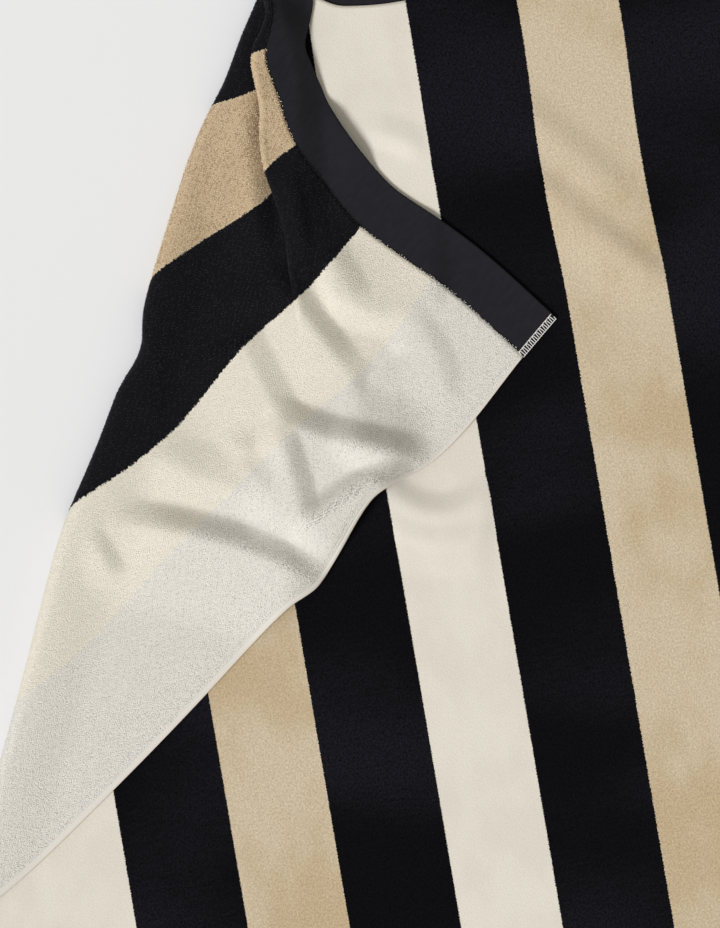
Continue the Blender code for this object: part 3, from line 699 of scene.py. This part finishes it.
def pile_roots():
    """Where loops stand on the flat cloth, in order from the end: rows of even pitch, every other one
    half a pitch over, each loop a little off its place, and one more row at the band. Kept are those on
    the fold and the turned corner that the bare finish and the inside of the pleat leave room for."""
    across = np.arange(SIDE_END + PILE_FIRST, PILE_TO[0], PILE_PITCH)
    along = np.arange(BAND + PILE_FIRST, PILE_TO[1], PILE_ROW * PILE_PITCH)
    roots = np.stack(np.meshgrid(across, along), axis=-1)
    roots[1::2, :, 0] += PILE_PITCH / 2
    roots = roots.reshape(-1, 2)
    roots = roots + chance.normal(0, PILE_STRAYS * PILE_PITCH, roots.shape)
    roots[:, 1] = np.maximum(roots[:, 1], BAND + PILE_NEAREST)
    edge = np.column_stack([across, np.full(len(across), BAND - EDGE_ROW)])
    edge += np.column_stack([chance.normal(0, stray, len(across)) for stray in EDGE_STRAYS])
    roots = np.vstack([edge, roots])
    arc, radius = folded(roots)[2:4]
    away, angle, _, length, gone = pleat_measures(roots)
    tucked = (angle > TUCK_ANGLE) & (away > TUCK_FROM * (PLEAT_TURN * angle))
    tucked = tucked & (away < np.maximum(length, gone) + TUCK_PAST)
    grown = eased((roots[:, 1] - SIDE_GROWS[0]) / (SIDE_GROWS[1] - SIDE_GROWS[0]))
    bare = SIDE_END + (SIDE_SEEN - SIDE_END) * grown
    roots = roots[(arc > -PILE_BEND * radius) & ~tucked & (roots[:, 0] > bare + PILE_FREE)]
    return roots[np.argsort(roots[:, 1], kind="stable")]


def pile_loops(roots):
    """Loops of yarn: half an ellipse standing on each root, PILE_SPAN wide and PILE_RISE high, turned and
    leaned at random, followed by three rings of three points each. None goes below the floor."""
    back, up = skins(roots, terry_thick(roots))[1:]
    out = -up
    turn = chance.normal(*PILE_TURN, len(roots))
    side = np.cross(out, np.array([0.0, 1.0, 0.0]))
    side /= np.linalg.norm(side, axis=1)[:, None]
    over = np.cross(out, side)
    run = np.cos(turn)[:, None] * side + np.sin(turn)[:, None] * over
    flank = np.cross(out, run)
    lean = chance.normal(*PILE_LEAN, len(roots))[:, None]
    rise = np.cos(lean) * out + np.sin(lean) * flank
    flank = np.cross(rise, run)
    size = chance.uniform(*PILE_SIZE, len(roots))[:, None, None, None]
    step = np.linspace(0, np.pi, 3)[None, :, None]
    path = -np.cos(step) * PILE_SPAN / 2 * run[:, None] + np.sin(step) * PILE_RISE * rise[:, None]
    normal = -np.cos(step) * run[:, None] + np.sin(step) * rise[:, None]
    ring = (np.linspace(0, 2 * np.pi, 3, endpoint=False) + np.pi / 2)[None, None, :, None]
    rings = np.sin(ring) * normal[:, :, None] + np.cos(ring) * flank[:, None, None]
    rings = (path[:, :, None] + YARN * rings) * size + (back - PILE_ROOT * out)[:, None, None]
    rings[..., 2] = np.maximum(rings[..., 2], 0.0)
    return rings.reshape(len(roots), 9, 3)


def pile_yarns(roots):
    """The number of each loop's yarn, three to a stripe: the stripe by the way from the middle line, grey
    up to the same wave as on the cloth, and the tint by chance, swayed along slanting lines by a sine."""
    off_middle = np.abs(roots[:, 0] - WIDTH / 2)
    stripe = PILE_STRIPES[np.digitize(off_middle, STRIPES)]
    wave = GREY_WAVE * np.sin((roots[:, 1] - GREY_START) * GREY_TURNS)
    stripe = np.where((stripe == CREAM) & (roots[:, 0] - wave < GREY_TO), GREY, stripe)
    twill = np.sin(2 * np.pi * (roots @ TWILL_RUN) / TWILL)
    tint = np.digitize(chance.random(len(roots)) + TWILL_TINT * twill, TINT_SHARES)
    past_edge = np.abs(off_middle - (STRIPES[1] + STRIPES[2]) / 2) - (STRIPES[2] - STRIPES[1]) / 2
    tint = np.where((past_edge > -TAN_EDGE) & (past_edge < 0), 0, tint)
    return 3 * stripe + tint


yarns = []
for stripe_name, tints in PILE_TINTS.items():
    for number, colour in enumerate(tints):
        yarn, yarn_shader = new_material(f"{stripe_name}_yarn_{number + 1}", 0.9, gloss=0.15)
        yarn_shader.inputs["Base Color"].default_value = (*colour, 1)
        yarns.append(yarn)
chance = np.random.default_rng(11)
roots = pile_roots()
loop_points = pile_loops(roots)
loop_yarns = pile_yarns(roots)
ring_at = np.arange(9).reshape(3, 3)
ring_beside = np.roll(ring_at, -1, axis=1)
loop_quads = np.stack([ring_at[:-1], ring_beside[:-1], ring_beside[1:], ring_at[1:]], axis=-1).reshape(-1, 4)
loop_caps = np.array([ring_at[0, ::-1], ring_at[-1]])
for share, chosen in enumerate(np.array_split(np.arange(len(roots)), PILE_PIECES)):
    first = 9 * np.arange(len(chosen))[:, None, None]
    quads = (loop_quads + first).reshape(-1, 4)
    caps = (loop_caps + first).reshape(-1, 3)
    pile = new_piece(f"loop_pile_{share + 1}", loop_points[chosen].reshape(-1, 3), quads, caps)
    for yarn in yarns:
        pile.data.materials.append(yarn)
    which = loop_yarns[chosen]
    which = np.concatenate([np.repeat(which, len(loop_quads)), np.repeat(which, len(loop_caps))])
    pile.data.polygons.foreach_set("material_index", which.astype(np.int32))
    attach(pile, "root")

# ---------------------------------------------------------------------------------------------------
# End bands. At each end the pile stops and the ground weave runs on as a flat black band, doubled under
# and sewn down along its inner edge. It starts inside the thicker terry, which overhangs it.

BAND_THICK = 0.0016
BAND_TUCK = 0.0035  # how far it runs into the terry
BAND_BLACK, BAND_STREAK = (0.0155, 0.0149, 0.0190, 1), (0.0190, 0.0184, 0.0232, 1)
BAND_RIB = 0.0011  # pitch of its ribs
BAND_STREAKS, BAND_GRAIN = (260, 90), (1100, 1500)  # to a metre, across and along


def band_material():
    """Flat weave: fine ribs across the band, streaks of slightly lighter yarn along it."""
    material, shader = new_material("flat_weave", 0.85)
    where = on_the_cloth(material)
    streak = where.scaled(*BAND_STREAKS).noise(3.0, 0.65)
    grain = where.scaled(*BAND_GRAIN).noise(2.0, 0.6)
    (streak * 0.7 + grain * 0.3).step(0.38, 0.68).mix(BAND_BLACK, BAND_STREAK).feeds(shader, "Base Color")
    ribs = (where.parts()[1] * (2 * math.pi / BAND_RIB)).sine()
    (ribs * 0.3 + grain).bump(0.4, 0.0003).feeds(shader, "Normal")
    shader.inputs["Sheen Weight"].default_value = 0.10
    shader.inputs["Sheen Roughness"].default_value = 0.4
    return material


flat_weave = band_material()
band_columns = spaced(
    # from, to, and the step between grid lines
    (0, 0.25, 0.004),
    (0.25, 0.325, 0.0025),
    (0.325, 0.425, 0.0012),
    (0.425, 0.50, 0.004),
    (0.50, WIDTH, 0.016),
)
near_rows = spaced((0, BAND + BAND_TUCK, 0.0014))
far_rows = spaced((LENGTH - BAND - BAND_TUCK, LENGTH, 0.006))
for band_name, band_rows in (("end_band_turned", near_rows), ("end_band_flat", far_rows)):
    band_flat = np.column_stack([
        np.repeat(band_columns, len(band_rows)),
        np.tile(band_rows, len(band_columns)),
    ])
    band = closed_sheet(band_name, band_flat, len(band_columns), np.full(len(band_flat), BAND_THICK))
    band.data.materials.append(flat_weave)
    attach(band, "root")

# ---------------------------------------------------------------------------------------------------
# Overlock stitches. The four short side ends of the bands are overlocked in white thread: a straight
# needle line a few millimetres in, and loops that run from it round the raw edge to the other side.

THREAD, THREAD_SIDES = 0.00036, 5  # radius of the thread, and the points round it
THREAD_WHITE = (0.78, 0.77, 0.74, 1)
STITCH, STEPS = 0.0019, 12  # from one stitch to the next, and the points to a stitch
STITCH_ENDS = (0.0008, 0.0004)  # left free at the band's outer end, and at its inner one
SKIN = BAND_THICK / 2 + 0.6 * THREAD  # from the band's middle to thread that lies on it
RUNG_SQUARE, RUNG_DOWN = 4.0, 0.0007  # how square the rungs turn, and the way in which they come down
EDGE_OUT, CHAIN_SWAY, CHAIN_LIFT = 0.0003, 0.0002, 0.0001
NEEDLE_IN, NEEDLE_OFF, NEEDLE_THICK = 0.0047, 0.0002, 1.1  # in from the edge, past the rungs, in THREADs
NEEDLE_PROUD, NEEDLE_DIP = 0.0002, 0.00045
PRESSED = 0.0003  # how softly the floor presses the thread that lies under the band


def tube(path, up, thick=THREAD):
    """Rings of THREAD_SIDES points about a path, squared to its run by an up direction, the quads
    between them, and a face at either end."""
    run = np.gradient(path, axis=0)
    run /= np.linalg.norm(run, axis=1)[:, None] + 1e-12
    side = np.cross(run, up)
    side /= np.linalg.norm(side, axis=1)[:, None] + 1e-12
    over = np.cross(side, run)
    turn = np.linspace(0, 2 * np.pi, THREAD_SIDES, endpoint=False)[None, :, None]
    rings = path[:, None] + thick * (np.cos(turn) * side[:, None] + np.sin(turn) * over[:, None])
    at = np.arange(len(path) * THREAD_SIDES).reshape(-1, THREAD_SIDES)
    beside = np.roll(at, -1, axis=1)
    quads = np.stack([at[:-1], at[1:], beside[1:], beside[:-1]], axis=-1).reshape(-1, 4)
    return rings.reshape(-1, 3), quads, np.array([at[0], at[-1, ::-1]])


def beside_band(edge, inwards, reach, along, lift):
    """Points beside the band's end: reach is how far in from the edge, and lift how far out of the
    band's middle, along its normal. A negative reach stands out past the edge."""
    place = np.column_stack([edge + inwards * np.maximum(reach, 0), along])
    thick = np.full(len(place), BAND_THICK)
    face, back, up = skins(place, thick)
    nudge = 0.0005
    inner_face, inner_back, _ = skins(place + [inwards * nudge, 0], thick)
    outwards = (face + back - inner_face - inner_back) / 2
    outwards /= np.linalg.norm(outwards, axis=1)[:, None] + 1e-12
    middle = (face + back) / 2 - np.minimum(reach, 0)[:, None] * outwards
    return middle + lift[:, None] * up, up


def stitches(edge, inwards, start, end):
    """The threads of one band end, on its face and then on its back. The rungs are a cosine between the
    needle line and the edge, squared up by a hyperbolic tangent, two rungs to a wave. The chain that they
    hold sways along the edge by a cosine, and the needle line dips into the cloth between its stitches,
    by the sixth power of one."""
    count = round(abs(end - start) / STITCH)
    beat = np.linspace(0, count, count * STEPS + 1)
    along = start + (end - start) * beat / count
    for side, shift in ((1, 0.0), (-1, 0.5)):
        wave = np.tanh(RUNG_SQUARE * np.cos(np.pi * (beat + shift))) / np.tanh(RUNG_SQUARE)
        reach = NEEDLE_IN * (0.5 + 0.5 * wave) - EDGE_OUT
        lift = side * SKIN * np.clip((reach + EDGE_OUT) / RUNG_DOWN, 0.0, 1.0)
        yield tube(*beside_band(edge, inwards, reach, along, lift))
        reach = -EDGE_OUT - CHAIN_SWAY * np.cos(2 * np.pi * beat)
        lift = side * (0.5 * SKIN + CHAIN_LIFT * np.sin(2 * np.pi * beat))
        yield tube(*beside_band(edge, inwards, reach, along, lift))
        reach = np.full(len(beat), NEEDLE_IN + NEEDLE_OFF)
        lift = side * (SKIN + NEEDLE_PROUD - NEEDLE_DIP * np.abs(np.cos(np.pi * beat)) ** 6)
        yield tube(*beside_band(edge, inwards, reach, along, lift), NEEDLE_THICK * THREAD)


threads = []
for edge, inwards in ((0.0, 1), (WIDTH, -1)):
    threads += stitches(edge, inwards, STITCH_ENDS[0], BAND - STITCH_ENDS[1])
    threads += stitches(edge, inwards, LENGTH - STITCH_ENDS[0], LENGTH - BAND + STITCH_ENDS[1])
firsts = np.cumsum([0] + [len(points) for points, _, _ in threads])
thread_points = np.vstack([points for points, _, _ in threads])
thread_points[:, 2] = PRESSED * np.logaddexp(0, thread_points[:, 2] / PRESSED)
thread_quads = np.vstack([quads + first for (_, quads, _), first in zip(threads, firsts)])
thread_ends = np.vstack([ends + first for (_, _, ends), first in zip(threads, firsts)])
overlock = new_piece("overlock", thread_points, thread_quads, thread_ends)
white_thread, thread_shader = new_material("white_thread", 0.6)
thread_shader.inputs["Base Color"].default_value = THREAD_WHITE
overlock.data.materials.append(white_thread)
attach(overlock, "root")

# ---------------------------------------------------------------------------------------------------
# Studio. A plain pale floor, one broad soft light from low on the left and an even sky, seen from
# straight above, with the camera turned so that the stripes lean as they are seen.

FLOOR_HALF, FLOOR_DROP = 12, 0.0001  # half its side, and how far it is below the towel
FLOOR_PALE = (0.80, 0.803, 0.812, 1)
SKY, SKY_STRENGTH = (1.0, 0.977, 0.880, 1), 0.41
SUN, SUN_STRENGTH, SUN_SOFT = (0.957, 0.960, 1.0), 2.82, math.radians(20)
SUN_HEIGHT, SUN_TURN = math.radians(45), math.atan2(-0.58, -0.82)
LEAN = math.atan2(0.16763, 0.98585)  # the stripes' lean in the picture
PIXEL, PICTURE_HIGH = 0.7826e-3, 928  # metres of cloth to a pixel, and the picture's height in pixels
VIEW_X, VIEW_Y = -0.0565, 0.459  # middle of the picture, from the middle of the flat towel
DISTANCE, SENSOR = 4.0, 36.0

floor_corners = FLOOR_HALF * np.array([(-1.0, -1, 0), (1, -1, 0), (1, 1, 0), (-1, 1, 0)])
floor = new_piece("floor", floor_corners, np.array([(0, 1, 2, 3)]), creased=1)
floor_paint, floor_shader = new_material("floor_paint", 0.9, gloss=0.5)
floor_shader.inputs["Base Color"].default_value = FLOOR_PALE
floor.data.materials.append(floor_paint)
floor.location.z = -FLOOR_DROP

world = bpy.data.worlds.new("sky")
world.use_nodes = True
world.node_tree.nodes["Background"].inputs["Color"].default_value = SKY
world.node_tree.nodes["Background"].inputs["Strength"].default_value = SKY_STRENGTH
bpy.context.scene.world = world

sun = bpy.data.lights.new("window_light", "SUN")
sun.energy, sun.angle, sun.color = SUN_STRENGTH, SUN_SOFT, SUN
sun_object = bpy.data.objects.new("window_light", sun)
sun_object.rotation_euler = (math.pi / 2 - SUN_HEIGHT, 0, SUN_TURN + math.pi / 2)
bpy.context.scene.collection.objects.link(sun_object)

lens = bpy.data.cameras.new("camera")
lens.sensor_fit, lens.sensor_width = "AUTO", SENSOR
lens.lens = SENSOR * DISTANCE / (PICTURE_HIGH * PIXEL)
lens.clip_end = 100
camera = bpy.data.objects.new("camera", lens)
camera.location = (VIEW_X + BULGE[0] / 2, VIEW_Y - BULGE[1] / 2, DISTANCE)
camera.rotation_euler = (0, 0, -LEAN)
bpy.context.scene.collection.objects.link(camera)
bpy.context.scene.camera = camera
bpy.context.scene.view_settings.view_transform = "Standard"
